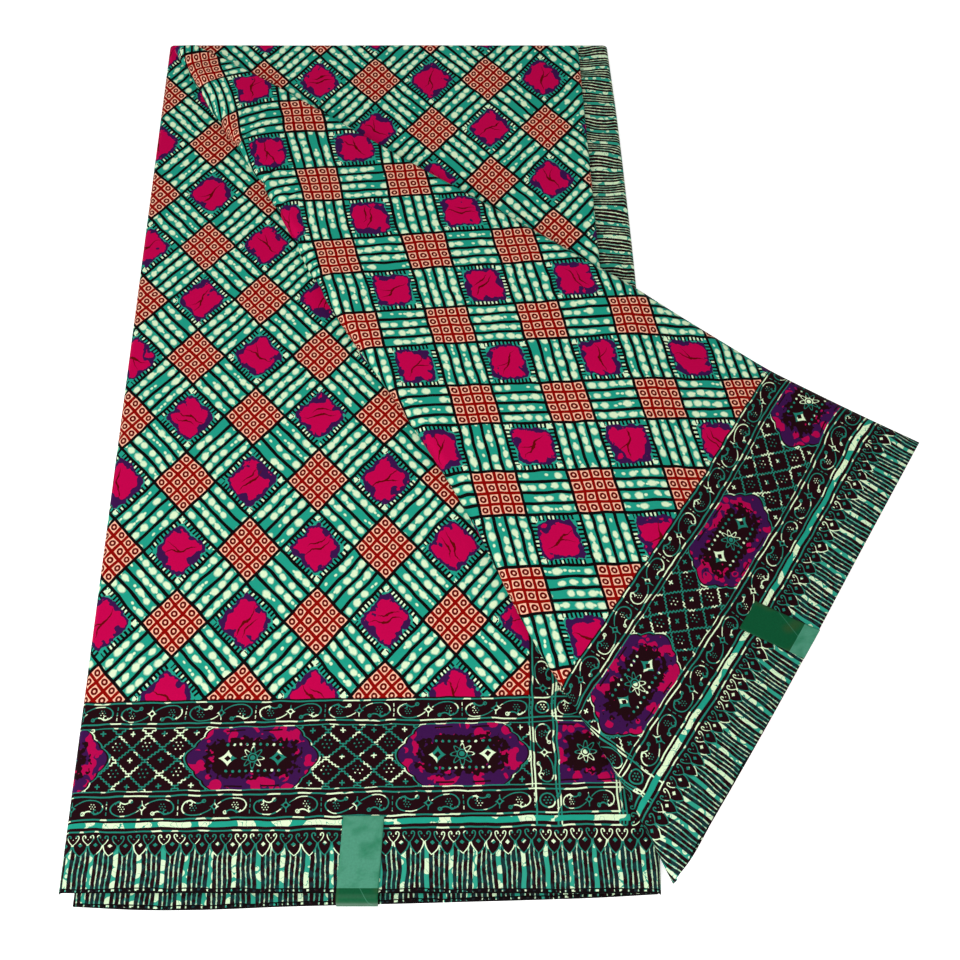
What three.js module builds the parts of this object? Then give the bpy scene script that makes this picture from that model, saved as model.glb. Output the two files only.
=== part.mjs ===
// Six yards of wax print cotton, folded for sale and laid out on a table.
// The cloth is folded in half across its width, so that its centre fold lies at the top and
// both selvedges at the hem, and is then pleated along its length into one flat strip.
// The lower half of the pleats lies flat. The upper half is turned back over a diagonal
// crease, from the top left corner to the right end of the hem, and its flap crosses the
// strip and comes down on the table at the right. The print is outside on every leaf that
// shows, because the cloth was folded in half with its face outwards.
// Millimetres, +Z up. The plan is drawn from the left end of the hem: x runs along the hem
// and y to the centre fold. The finished group is moved to stand on its own centre.

import * as THREE from "three";

// ---- Driving dimensions ----

const CLOTH_WIDTH = 1168;
const STRIP_LENGTH = CLOTH_WIDTH / 2;
const HEM_WIDTH = 287;
const TOP_LEAN = 11;
const UPPER_INSET = 20;
const UPPER_SETBACK = 6;

const GAP = 0.3;
const LEAF = 1.1;
const LOWER_HEIGHT = 8;
const UPPER_HEIGHT = 4.6;
const FLAP_HEIGHT = 4.6;

const CREASE_START = { x: -9.5, y: 578.5 };
const CREASE_END = { x: 293.5, y: 3 };
const EDGE_START = { x: 5, y: 577 };
const FLAP_TIP = { x: 451.8, y: 261 };
const NOSE_DEPTH = 6;
const NOSE_CLEARANCE = 2;
const NOSE_UNDERTURN = 0.38 * Math.PI;
const FLAP_START = 0.01;
const UPPER_START = 42;
const OVERHANG = 10;
const TOUCH_DOWN = 92;
const SLOPE_ROUNDING = 0.2;
const FLAP_COLUMNS = 36;
const FLAP_ROWS = 10;
const NOSE_ROWS = 6;

const LABEL_WIDTH = 20;
const LABEL_THICKNESS = 0.5;
const HEM_LABEL_X = 144;
const HEM_LABEL_LEAN = 2;
const HEM_LABEL_REACH = 38;
const HEM_LABEL_TURN = 4;
const FLAP_LABEL_ALONG = 0.502;
const FLAP_LABEL_LEAN = 5;
const FLAP_LABEL_REACH = 36;
const FLAP_LABEL_SEAT = 0.8;

const ROLL_RADIUS = 3;
const ROLL_SHARE = 0.25;
const UNDERLEAF_HEIGHT = 1.7;
const UNDERLEAF_GAP = 0.5;

// How far the diagonal crease bows towards the flap, at shares of its length.
const CREASE_BOW = [
  { along: 0, inward: 0 },
  { along: 0.13, inward: 0.5 },
  { along: 0.23, inward: 3.5 },
  { along: 0.4, inward: 0.5 },
  { along: 0.53, inward: 5 },
  { along: 0.63, inward: 7 },
  { along: 0.78, inward: 1.5 },
  { along: 0.92, inward: 2.5 },
  { along: 1, inward: -1 },
];

// How far the flap's upper edge bows outwards, at shares of its length.
const UPPER_EDGE_BOW = [
  { along: 0, outward: -2 },
  { along: 0.1, outward: 0 },
  { along: 0.2, outward: -1 },
  { along: 0.35, outward: -4 },
  { along: 0.5, outward: -5.5 },
  { along: 0.7, outward: -8.2 },
  { along: 0.8, outward: -6.6 },
  { along: 0.92, outward: -4.2 },
  { along: 1, outward: -1.4 },
];

// How far the flap's selvedge bows outwards, at shares of its length from the crease.
const SELVEDGE_BOW = [
  { along: 0, outward: 0.4 },
  { along: 0.12, outward: 1.3 },
  { along: 0.35, outward: 2 },
  { along: 0.7, outward: 0.8 },
  { along: 1, outward: 0 },
];

// How far the strip's right edge bows outwards, from the hem to the centre fold.
const RIGHT_EDGE_BOW = [
  { y: 0, outward: 0 },
  { y: 150, outward: 5 },
  { y: 370, outward: 8.8 },
  { y: 450, outward: 6.5 },
  { y: 510, outward: 4.3 },
  { y: 584, outward: 0.4 },
];

// Soft swells that run from the diagonal crease into the flap, between its gathers.
const SWELLS = [
  { along: 0.08, width: 0.03, reach: 30, lift: 1.6 },
  { along: 0.18, width: 0.03, reach: 46, lift: 2.2 },
  { along: 0.285, width: 0.028, reach: 54, lift: 2 },
  { along: 0.4, width: 0.04, reach: 44, lift: 1.4 },
  { along: 0.54, width: 0.05, reach: 40, lift: 1.2 },
  { along: 0.7, width: 0.05, reach: 40, lift: 1.2 },
  { along: 0.86, width: 0.05, reach: 36, lift: 1 },
];

// Where the edge of the lowest leaves stands beyond the hem, from left to right.
const UNDERLEAF_EDGE = [
  { x: 6.6, beyond: 4.5 },
  { x: 40, beyond: 6 },
  { x: 120, beyond: 4 },
  { x: 200, beyond: 3 },
  { x: 262, beyond: 1.5 },
];

// Ledges of a pile's edge: how far each group of leaves stands in or out of the outline.
const LEDGES = [
  { up: 0, out: -0.6 },
  { up: 0.12, out: 0.2 },
  { up: 0.26, out: -0.9 },
  { up: 0.38, out: 0.1 },
  { up: 0.52, out: -1 },
  { up: 0.66, out: -0.2 },
  { up: 0.8, out: -1.2 },
  { up: 1, out: -0.8 },
];

// ---- Levels worked out from the heights ----

const UPPER_BASE = LOWER_HEIGHT + GAP;
const UPPER_TOP = UPPER_BASE + UPPER_HEIGHT;
const FLAP_BASE = UPPER_TOP + GAP;

// ---- Colours ----

const COLOURS = {
  lower_pile: "#24473f",
  hem_underleaf: "#2c6f61",
  lower_leaf: "#1f9c84",
  upper_pile: "#24473f",
  upper_leaf: "#27a58b",
  flap_pile: "#24473f",
  flap_leaf: "#1c9480",
  hem_label: "#2a8a62",
  flap_label: "#0a6240",
};

// ---- Small helpers ----

function mix(from, to, share) {
  return from + (to - from) * share;
}

function ease(share) {
  return THREE.MathUtils.smoothstep(share, 0, 1);
}

// A straight run from 0 to 1 with a rounded start and end.
function roundedRun(share, rounding) {
  const at = THREE.MathUtils.clamp(share, 0, 1);
  const bend = 2 * rounding * (1 - rounding);
  if (at < rounding) return (at * at) / bend;
  if (at > 1 - rounding) return 1 - (1 - at) ** 2 / bend;
  return (at - rounding / 2) / (1 - rounding);
}

function curveOf(table, at, value) {
  const stations = table.map((row) => row[at]);
  const values = table.map((row) => row[value]);
  const curve = new THREE.CubicInterpolant(stations, values, 1);
  return (station) => curve.evaluate(station)[0];
}

function alongLine(from, to, share, sideways) {
  const dx = to.x - from.x;
  const dy = to.y - from.y;
  const length = Math.hypot(dx, dy);
  return {
    x: mix(from.x, to.x, share) - (sideways * dy) / length,
    y: mix(from.y, to.y, share) + (sideways * dx) / length,
  };
}

// ---- Closed bodies from a grid ----

// Makes one closed body from a grid of columns and rows. upper(s, t) and lower(s, t) give
// the points of its two faces, and rings(s, t, side) the points between them at the rim.
function closedGrid(columns, rows, upper, lower, rings = []) {
  const positions = [];
  const triangles = [];
  const faceOf = (surface) => {
    const first = positions.length / 3;
    for (let row = 0; row <= rows; row += 1) {
      for (let column = 0; column <= columns; column += 1) {
        positions.push(...surface(column / columns, row / rows));
      }
    }
    return (column, row) => first + row * (columns + 1) + column;
  };
  const top = faceOf(upper);
  const bottom = faceOf(lower);
  for (let row = 0; row < rows; row += 1) {
    for (let column = 0; column < columns; column += 1) {
      const corners = [[column, row], [column + 1, row], [column + 1, row + 1], [column, row + 1]];
      const [a, b, c, d] = corners.map(([i, j]) => top(i, j));
      const [e, f, g, h] = corners.map(([i, j]) => bottom(i, j));
      triangles.push(a, b, c, a, c, d, e, g, f, e, h, g);
    }
  }
  const rim = rimOf(columns, rows);
  const levels = [rim.map(([i, j]) => bottom(i, j))];
  for (const ring of rings) {
    const first = positions.length / 3;
    rim.forEach(([i, j], k) => {
      const before = rim[(k + rim.length - 1) % rim.length];
      const after = rim[(k + 1) % rim.length];
      const [x0, y0] = lower(before[0] / columns, before[1] / rows);
      const [x1, y1] = lower(after[0] / columns, after[1] / rows);
      const length = Math.hypot(x1 - x0, y1 - y0);
      positions.push(...ring(i / columns, j / rows, (y1 - y0) / length, (x0 - x1) / length));
    });
    levels.push(rim.map((_, k) => first + k));
  }
  levels.push(rim.map(([i, j]) => top(i, j)));
  for (let level = 1; level < levels.length; level += 1) {
    const [under, over] = [levels[level - 1], levels[level]];
    rim.forEach((_, k) => {
      const next = (k + 1) % rim.length;
      triangles.push(under[k], under[next], over[next], under[k], over[next], over[k]);
    });
  }
  const geometry = new THREE.BufferGeometry();
  geometry.setAttribute("position", new THREE.Float32BufferAttribute(positions, 3));
  geometry.setIndex(triangles);
  geometry.computeVertexNormals();
  return geometry;
}

function rimOf(columns, rows) {
  const rim = [];
  for (let i = 0; i < columns; i += 1) rim.push([i, 0]);
  for (let j = 0; j < rows; j += 1) rim.push([columns, j]);
  for (let i = columns; i > 0; i -= 1) rim.push([i, rows]);
  for (let j = rows; j > 0; j -= 1) rim.push([0, j]);
  return rim;
}

// A leaf is a wall of cloth: its outer face, and the same face set in by its thickness.
function leaf(columns, rows, face, thickness = LEAF) {
  const step = 1e-4;
  const at = (s, t) => new THREE.Vector3(...face(s, t));
  const inner = (s, t) => {
    const alongS = at(Math.min(1, s + step), t).sub(at(Math.max(0, s - step), t));
    const alongT = at(s, Math.min(1, t + step)).sub(at(s, Math.max(0, t - step)));
    const inward = alongT.cross(alongS).normalize().multiplyScalar(thickness);
    return at(s, t).add(inward).toArray();
  };
  return closedGrid(columns, rows, face, inner);
}

// A pile is the rounded solid of the hidden leaves, with ledges round its edge.
function pile(columns, rows, plan, base, height) {
  const last = LEDGES.length - 1;
  const flat = (ledge) => (s, t) => {
    const [x, y] = plan(s, t, ledge.out);
    return [x, y, base(x, y) + height * ledge.up];
  };
  const rings = LEDGES.slice(1, last).map((ledge) => (s, t, sideX, sideY) => {
    const [x, y] = plan(s, t, LEDGES[0].out);
    const out = ledge.out - LEDGES[0].out;
    return [x + sideX * out, y + sideY * out, base(x, y) + height * ledge.up];
  });
  return closedGrid(columns, rows, flat(LEDGES[last]), flat(LEDGES[0]), rings);
}

// ---- The plan of the strip ----

const rightEdgeBow = curveOf(RIGHT_EDGE_BOW, "y", "outward");

function leftEdge(y) {
  return (-TOP_LEAN * y) / STRIP_LENGTH;
}

function rightEdge(y) {
  return HEM_WIDTH + rightEdgeBow(y);
}

function upperRightEdge(y) {
  return HEM_WIDTH - (UPPER_INSET * y) / STRIP_LENGTH;
}

function stripPlan(s, t, out = 0) {
  const y = mix(-out, STRIP_LENGTH + out, t);
  return [mix(leftEdge(y) - out, rightEdge(y) + out, s), y];
}

// ---- The plan of the flap and of the strip's part under it ----

const creaseBow = curveOf(CREASE_BOW, "along", "inward");
const upperEdgeBow = curveOf(UPPER_EDGE_BOW, "along", "outward");
const selvedgeBow = curveOf(SELVEDGE_BOW, "along", "outward");
const hemBeyond = curveOf(UNDERLEAF_EDGE, "x", "beyond");

function creaseAt(share) {
  return alongLine(CREASE_START, CREASE_END, share, creaseBow(share));
}

function creaseXAt(y) {
  const share = THREE.MathUtils.clamp((CREASE_START.y - y) / (CREASE_START.y - CREASE_END.y), 0, 1);
  return creaseAt(share).x;
}

function upperEdgeAt(share) {
  return alongLine(EDGE_START, FLAP_TIP, share, upperEdgeBow(share));
}

// The flap's selvedge: how long it is, and which way it runs from the crease.
const SELVEDGE = new THREE.Vector2(FLAP_TIP.x - CREASE_END.x, FLAP_TIP.y - CREASE_END.y);
const SELVEDGE_LENGTH = SELVEDGE.length();
SELVEDGE.normalize();

// A point of the flap: share runs from its narrow start to the selvedge, and across is the
// distance in from the crease.
function flapPoint(share, across) {
  const from = creaseAt(share);
  const to = upperEdgeAt(share);
  const inside = across / Math.hypot(to.x - from.x, to.y - from.y);
  const beyond = selvedgeBow(inside) * share ** 6;
  return [mix(from.x, to.x, inside) + SELVEDGE.y * beyond, mix(from.y, to.y, inside) - SELVEDGE.x * beyond];
}

function flapWidth(share) {
  const from = creaseAt(share);
  const to = upperEdgeAt(share);
  return Math.hypot(to.x - from.x, to.y - from.y);
}

// The level that the flap rests on: the upper pleats, and then a slope down to the table.
function flapGround(x, y) {
  const past = x - upperRightEdge(y) - OVERHANG;
  return FLAP_BASE * (1 - roundedRun(past / TOUCH_DOWN, SLOPE_ROUNDING));
}

function swellAt(share, across) {
  let height = 0;
  for (const { along, width, reach, lift } of SWELLS) {
    const aside = (share - along) / width;
    height += lift * Math.exp(-aside * aside) * (1 - ease(across / reach));
  }
  return height;
}

// ---- The pieces ----

function lowerPile() {
  const inset = ROLL_RADIUS - GAP;
  const plan = (s, t, out) => stripPlan(s, t, out - inset);
  return pile(6, 10, plan, () => 0, LOWER_HEIGHT - LEAF - GAP);
}

// Runs along a leaf from its rolled edge: how far over and how far down it has come.
function rollOver(run) {
  const quarter = (ROLL_RADIUS * Math.PI) / 2;
  const angle = Math.max(0, (quarter - run) / ROLL_RADIUS);
  const onRoll = ROLL_RADIUS * (1 - Math.sin(angle));
  return {
    over: run < quarter ? onRoll : run - quarter + ROLL_RADIUS,
    down: ROLL_RADIUS * (1 - Math.cos(angle)),
  };
}

// Crowds the first share of a grid's lines on the roll.
function runAt(share, total) {
  const quarter = (ROLL_RADIUS * Math.PI) / 2;
  if (share < ROLL_SHARE) return (quarter * share) / ROLL_SHARE;
  return mix(quarter, total, (share - ROLL_SHARE) / (1 - ROLL_SHARE));
}

// The lower face: flat, and rolled down over the folded left side and the centre fold.
function lowerLeaf() {
  const side = (share, total) => {
    const { over, down } = rollOver(runAt(share, total));
    return { over: over / rollOver(total).over, down };
  };
  const face = (s, t) => {
    const left = side(s, HEM_WIDTH);
    const top = side(1 - t, STRIP_LENGTH);
    const y = STRIP_LENGTH * (1 - top.over);
    const x = mix(leftEdge(y), rightEdge(y), left.over);
    return [x, y, LOWER_HEIGHT - Math.min(left.down + top.down, ROLL_RADIUS)];
  };
  return leaf(12, 14, face);
}

// The edge of the lowest leaves, which stands out under the hem.
function hemUnderleaf() {
  const first = UNDERLEAF_EDGE[0].x;
  const last = UNDERLEAF_EDGE[UNDERLEAF_EDGE.length - 1].x;
  const back = -UNDERLEAF_GAP;
  const at = (level, setBack) => (s, t) => {
    const x = mix(first, last, s);
    return [x, mix(setBack - hemBeyond(x), back, t), level];
  };
  return closedGrid(20, 1, at(UNDERLEAF_HEIGHT, UNDERLEAF_GAP), at(0, 0));
}

function upperPlan(s, t, out = 0) {
  const y = mix(UPPER_START, STRIP_LENGTH - UPPER_SETBACK + out, t);
  const left = creaseXAt(y) + NOSE_DEPTH + NOSE_CLEARANCE;
  return [mix(left - out, upperRightEdge(y) + out, s), y];
}

function upperPile() {
  const plan = (s, t, out) => upperPlan(s, t, out);
  return pile(5, 12, plan, () => UPPER_BASE, UPPER_HEIGHT - LEAF - GAP);
}

function upperLeaf() {
  const face = (s, t) => [...upperPlan(s, t), UPPER_TOP];
  return leaf(6, 12, face);
}

// The hidden leaves of the flap, inside its rolled crease.
function flapPile() {
  const plan = (s, t, out) => {
    const share = mix(FLAP_START, 1 + out / STRIP_LENGTH, s);
    return flapPoint(share, mix(NOSE_DEPTH - out, flapWidth(share) + out, t));
  };
  return pile(FLAP_COLUMNS, FLAP_ROWS, plan, flapGround, FLAP_HEIGHT - LEAF - GAP);
}

// The flap's face: it rolls round the crease and runs out to the upper edge, with soft swells.
function flapLeaf() {
  const noseShare = NOSE_ROWS / (NOSE_ROWS + FLAP_ROWS);
  const face = (s, t) => {
    const share = mix(FLAP_START, 1, s);
    const level = flapGround(...flapPoint(share, 0)) + FLAP_HEIGHT + swellAt(share, 0);
    const half = (level - UPPER_BASE) / 2;
    if (t < noseShare) {
      const angle = mix(-NOSE_UNDERTURN, Math.PI / 2, t / noseShare);
      const point = flapPoint(share, NOSE_DEPTH * (1 - Math.cos(angle)));
      return [...point, UPPER_BASE + half * (1 + Math.sin(angle))];
    }
    const inside = (t - noseShare) / (1 - noseShare);
    const across = mix(NOSE_DEPTH, flapWidth(share), inside);
    const [x, y] = flapPoint(share, across);
    return [x, y, flapGround(x, y) + FLAP_HEIGHT + swellAt(share, across - NOSE_DEPTH)];
  };
  return leaf(FLAP_COLUMNS, FLAP_ROWS + NOSE_ROWS, face);
}

// A band label round the hem: it lies on the face and turns down over the hem.
function hemLabel() {
  const bend = (HEM_LABEL_TURN * Math.PI) / 2;
  const drop = LOWER_HEIGHT + GAP + LABEL_THICKNESS;
  const total = HEM_LABEL_REACH + bend + drop - HEM_LABEL_TURN;
  const ahead = -(hemBeyond(HEM_LABEL_X) + GAP + LABEL_THICKNESS);
  const face = (s, t) => {
    const x = HEM_LABEL_X + LABEL_WIDTH * (s - 0.5) - HEM_LABEL_LEAN * (1 - t);
    const run = total * (1 - t);
    if (run < HEM_LABEL_REACH) return [x, HEM_LABEL_REACH + ahead + HEM_LABEL_TURN - run, drop];
    const angle = Math.min((run - HEM_LABEL_REACH) / HEM_LABEL_TURN, Math.PI / 2);
    const rest = Math.max(0, run - HEM_LABEL_REACH - bend);
    const y = ahead + HEM_LABEL_TURN * (1 - Math.sin(angle));
    return [x, y, drop - HEM_LABEL_TURN * (1 - Math.cos(angle)) - rest];
  };
  return leaf(2, 24, face, LABEL_THICKNESS);
}

// A band label on the flap: it starts at the selvedge and goes straight in.
function flapLabel() {
  const beyond = selvedgeBow(FLAP_LABEL_ALONG);
  const face = (s, t) => {
    const along = SELVEDGE_LENGTH * FLAP_LABEL_ALONG + LABEL_WIDTH * (s - 0.5) - FLAP_LABEL_LEAN * t;
    const inward = FLAP_LABEL_REACH * t - beyond;
    const x = CREASE_END.x + SELVEDGE.x * along - SELVEDGE.y * inward;
    const y = CREASE_END.y + SELVEDGE.y * along + SELVEDGE.x * inward;
    return [x, y, flapGround(x, y) + FLAP_HEIGHT + FLAP_LABEL_SEAT + LABEL_THICKNESS];
  };
  return leaf(2, 10, face, LABEL_THICKNESS);
}

// ---- The group ----

const PIECES = {
  lower_pile: lowerPile,
  hem_underleaf: hemUnderleaf,
  lower_leaf: lowerLeaf,
  upper_pile: upperPile,
  upper_leaf: upperLeaf,
  flap_pile: flapPile,
  flap_leaf: flapLeaf,
  hem_label: hemLabel,
  flap_label: flapLabel,
};

const cloth = new THREE.Group();
for (const [name, make] of Object.entries(PIECES)) {
  const material = new THREE.MeshStandardMaterial({ color: COLOURS[name], roughness: 0.8, metalness: 0 });
  const mesh = new THREE.Mesh(make(), material);
  mesh.name = name;
  cloth.add(mesh);
}
const reach = new THREE.Box3().setFromObject(cloth);
const centre = reach.getCenter(new THREE.Vector3());
cloth.position.set(-centre.x, -centre.y, -reach.min.z);
cloth.updateMatrixWorld(true);

export default cloth;
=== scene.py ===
"""Six yards of wax print cotton, folded into a strip with its upper half turned back.

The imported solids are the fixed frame. This script dresses them: each face of the cloth is a
thin shell, each pile of hidden leaves shows its layered edges, and the wax print is worked
out by formulas on cloth coordinates, so that it runs over every fold.
Cloth coordinates are metres on the flat cloth: the first runs along the selvedge from one
cut end, the second across the cloth from the selvedge to the centre fold.
"""

import functools
import math

import bpy
import numpy as np
from bpy.props import FloatProperty, FloatVectorProperty, PointerProperty
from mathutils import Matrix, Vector


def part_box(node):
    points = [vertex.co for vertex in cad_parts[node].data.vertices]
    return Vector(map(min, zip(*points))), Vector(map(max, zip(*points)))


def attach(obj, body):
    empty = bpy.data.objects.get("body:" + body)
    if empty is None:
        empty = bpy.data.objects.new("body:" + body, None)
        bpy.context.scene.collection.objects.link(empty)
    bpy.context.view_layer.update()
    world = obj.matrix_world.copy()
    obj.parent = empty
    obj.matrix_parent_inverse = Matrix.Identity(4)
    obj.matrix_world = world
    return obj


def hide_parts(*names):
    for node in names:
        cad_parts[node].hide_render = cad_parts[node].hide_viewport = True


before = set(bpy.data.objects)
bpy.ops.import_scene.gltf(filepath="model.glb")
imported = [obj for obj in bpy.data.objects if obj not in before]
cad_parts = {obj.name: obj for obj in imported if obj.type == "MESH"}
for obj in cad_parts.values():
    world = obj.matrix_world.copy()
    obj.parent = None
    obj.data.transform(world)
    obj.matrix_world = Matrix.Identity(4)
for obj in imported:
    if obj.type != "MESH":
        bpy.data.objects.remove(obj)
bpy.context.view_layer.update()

bl_info = {
    "name": "Folded wax print cloth",
    "version": (1, 0, 0),
    "blender": (4, 5, 0),
    "location": "3D View > Sidebar > Cloth",
    "description": "Dresses the folded length of wax print cotton around its frame",
    "category": "Object",
}

MM = 0.001
QUARTER_TURN = math.pi / 2

# ---- Levels and places read from the frame ----

LOWER_START, LOWER_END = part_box("lower_leaf")
LOWER_TOP = LOWER_END.z
UPPER_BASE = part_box("upper_pile")[0].z
UPPER_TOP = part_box("upper_leaf")[1].z
FLAP_BASE = UPPER_TOP + 0.3 * MM
STRIP_LENGTH = LOWER_END.y - LOWER_START.y
HEM_WIDTH = 287 * MM
TOP_LEAN = 11 * MM
HEM_CORNER = Vector((LOWER_START.x + TOP_LEAN, LOWER_START.y, 0))

# ---- The plan, measured from the left end of the hem ----

CREASE_START = np.array((-9.5, 578.5)) * MM
CREASE_END = np.array((293.5, 3)) * MM
EDGE_START = np.array((5, 577)) * MM
FLAP_TIP = np.array((451.8, 261)) * MM
SELVEDGE_RUN = np.array((0.5172, 0.8559))
FLAP_START = 0.014

# Where the labels are: millimetres along the hem, and a share along the flap's selvedge.
HEM_LABEL_PLACE = 144.0
FLAP_LABEL_SHARE = 0.502

# The upper strip: where it starts over the hem, and a mean width to space its points by.
UPPER_START = 42 * MM
UPPER_WIDTH = 200 * MM

# How far the diagonal crease bows towards the flap, in millimetres, at shares of its length.
CREASE_BOW = {
    "along": (0, 0.13, 0.23, 0.4, 0.53, 0.63, 0.78, 0.92, 1),
    "inward": (0, 0.5, 3.5, 0.5, 5, 7, 1.5, 2.5, -1),
}

# How far the flap's upper edge bows outwards, in millimetres, at shares of its length.
UPPER_EDGE_BOW = {
    "along": (0, 0.1, 0.2, 0.35, 0.5, 0.7, 0.8, 0.92, 1),
    "outward": (-2, 0, -1, -4, -5.5, -8.2, -6.6, -4.2, -1.4),
}

# How far the flap's selvedge bows outwards, in millimetres, at shares from the crease.
SELVEDGE_BOW = {
    "along": (0, 0.03, 0.12, 0.35, 0.7, 1),
    "outward": (-0.8, 0.8, 1.4, 2, 0.8, 0),
}

# How far the strip's right edge bows outwards, in millimetres, from the hem upwards.
RIGHT_EDGE_BOW = {
    "along": (0, 150, 370, 450, 510, 584),
    "outward": (0, 5, 8.8, 6.5, 4.3, 0.4),
}

# How far the edge of the lowest leaves stands beyond the hem, in millimetres.
UNDERLEAF_EDGE = {
    "along": (6.6, 40, 120, 200, 262, 286),
    "outward": (4.5, 6, 4, 1.9, -0.2, -1.6),
}

# Soft swells that run from the crease into the flap: place, half width, reach and height.
SWELLS = (
    (0.08, 0.03, 30, 1.6),
    (0.18, 0.03, 46, 2.2),
    (0.285, 0.028, 54, 2.0),
    (0.4, 0.04, 44, 1.4),
    (0.54, 0.05, 40, 1.2),
    (0.7, 0.05, 40, 1.2),
    (0.86, 0.05, 36, 1.0),
)

# Sharp tucks where the crease gathers the cloth: place, half width, reach and depth.
TUCKS = (
    (0.045, 0.004, 16, 1.2),
    (0.081, 0.004, 20, 1.5),
    (0.13, 0.0045, 22, 1.4),
    (0.17, 0.004, 18, 1.4),
    (0.226, 0.0045, 30, 1.8),
    (0.268, 0.004, 18, 1.4),
    (0.311, 0.0045, 26, 1.6),
    (0.37, 0.005, 20, 1.0),
)

# Where the print stands off its straight run: place, reach, and shift along and across.
FLAP_SHIFTS = (
    (175, 260, 60, -3.0, -0.8),
    (110, 400, 50, 2.2, 0),
    (275, 360, 35, -2.2, 0),
    (310, 190, 60, 1.9, 0.9),
    (420, 220, 40, -1.6, -2.6),
    (60, 480, 40, 1.5, -2.5),
    (390, 170, 40, 0, -2),
    (20, 556, 28, 9.6, -2.4),
    (49, 533, 26, 0.2, -4.0),
    (375, 290, 38, -0.6, -2.8),
    (388, 284, 36, -2.2, -2.0),
    (415, 268, 30, 0.9, -2.6),
    (335, 258, 30, 0.3, -1.0),
    (39, 493, 22, 4.5, 1.8),
    (84, 507, 30, 0, -1.6),
    (131, 418, 35, 1.2, -2.2),
    (335, 115, 55, 3.6, -0.4),
    (285, 70, 25, 0.4, -0.7),
    (100, 480, 30, 0.6, -1.2),
)
LOWER_SHIFTS = (
    (20, 430, 60, -1.6, 1.6),
    (60, 270, 70, 0.7, -0.9),
    (110, 135, 45, -1.1, 0),
    (200, 140, 50, 0, 1.2),
    (40, 60, 20, 1.7, 0),
)

# The rounded edge of a leaf in a pile: share of its height, and how far out, in its height.
LEAF_EDGE = ((0.1, -0.5), (0.3, -0.1), (0.5, 0), (0.7, -0.1), (0.9, -0.5))

# How far the print moves on from leaf to leaf of a pile, in metres.
LEAF_PRINT_STEP = 0.0331

# How far the print moves on over a rolled edge, for each metre that the edge goes down.
PRINT_TURN = 0.6

# How many rows of points a rolled edge has.
BEND_POINTS = 9


# ---- What a user may change ----


def length(name, description, default):
    return FloatProperty(name=name, description=description, default=default, unit="LENGTH", min=0)


def colour(name, description, *display):
    """A colour from its display parts, 0 to 255, as the linear colour that a shader takes."""
    parts = [part / 255 for part in display]
    linear = [p / 12.92 if p < 0.04045 else ((p + 0.055) / 1.055) ** 2.4 for p in parts]
    settings = {"subtype": "COLOR", "size": 4, "min": 0, "max": 1}
    return FloatVectorProperty(name=name, description=description, default=(*linear, 1), **settings)


class FoldSizes(bpy.types.PropertyGroup):
    """Sizes of the folded cloth."""

    cloth: length("Cloth", "Thickness of the cotton", 0.4 * MM)
    top_lean: length("Top lean", "How far the strip leans out at its top left corner", TOP_LEAN)
    upper_inset: length("Upper inset", "How far the upper pleats stand in at the top right", 20 * MM)
    upper_setback: length("Upper setback", "How far the upper pleats stop below the top", 6 * MM)
    flap_height: length("Flap height", "Height of the turned back pleats", 4.6 * MM)
    nose: length("Nose", "Depth of the rolled crease", 6 * MM)
    roll: length("Roll", "Radius of the folds at the strip's edges", 3 * MM)
    leaf: length("Leaf", "Height of one folded leaf at the piles' edges", 0.62 * MM)
    label_width: length("Label width", "Width of the band labels", 20 * MM)


class PrintSizes(bpy.types.PropertyGroup):
    """Sizes of the wax print."""

    repeat_along: length("Repeat along", "The check's repeat along the selvedge", 73.5 * MM)
    repeat_across: length("Repeat across", "The check's repeat across the cloth", 86.46 * MM)
    border: length("Border", "Depth of the border at the selvedge", 99.8 * MM)
    end_border: length("End border", "Where the field stops short of a cut end", 61 * MM)
    field: length("Field", "Length of the field between the two end borders", 5295.2 * MM)
    medallion_pitch: length("Medallion pitch", "From medallion to medallion", 104.54 * MM)


class PrintColours(bpy.types.PropertyGroup):
    """Dyes of the print and colours of the labels."""

    teal: colour("Teal", "Ground of the check", 32, 160, 136)
    sea: colour("Sea", "Drawn lines of the border", 34, 132, 114)
    cream: colour("Cream", "Cloth left bare by the wax", 229, 251, 209)
    black: colour("Black", "Drawn lines", 13, 7, 9)
    dark_red: colour("Dark red", "Ground of the ring squares", 144, 5, 2)
    ring_red: colour("Ring red", "Rings in the small squares", 104, 6, 6)
    peach: colour("Peach", "Small squares", 255, 194, 163)
    magenta: colour("Magenta", "Blots", 200, 0, 77)
    purple: colour("Purple", "Rim of the blots", 60, 18, 76)
    aubergine: colour("Aubergine", "Ground of the border", 33, 7, 14)
    indigo: colour("Indigo", "Mottling between the bars of the fringe", 22, 52, 56)
    label: colour("Label", "Green of the band labels", 77, 149, 121)
    label_cloud: colour("Label cloud", "Clouds in the band labels' green", 44, 126, 92)
    label_deep: colour("Label deep", "Darker green where the band labels overlap", 0, 84, 48)
    label_olive: colour("Label olive", "Spots in the darker green", 62, 76, 30)


class Studio(bpy.types.PropertyGroup):
    """Camera and light."""

    camera: FloatVectorProperty(
        name="Camera", description="Its place, from the left end of the hem",
        default=(0.2007, -0.2141, 0.7144), subtype="TRANSLATION", unit="LENGTH",
    )
    pitch: FloatProperty(
        name="Pitch", description="How far it looks down", default=math.radians(57.75), subtype="ANGLE"
    )
    lens: FloatProperty(name="Lens", description="Focal length", default=56.25, unit="CAMERA")
    light: FloatProperty(name="Light", description="Strength of the studio light", default=1.0, min=0)


# ---- Small helpers on arrays ----


def mix(start, end, share):
    return start + (end - start) * share


def ease(share):
    share = np.clip(share, 0, 1)
    return share * share * (3 - 2 * share)


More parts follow.
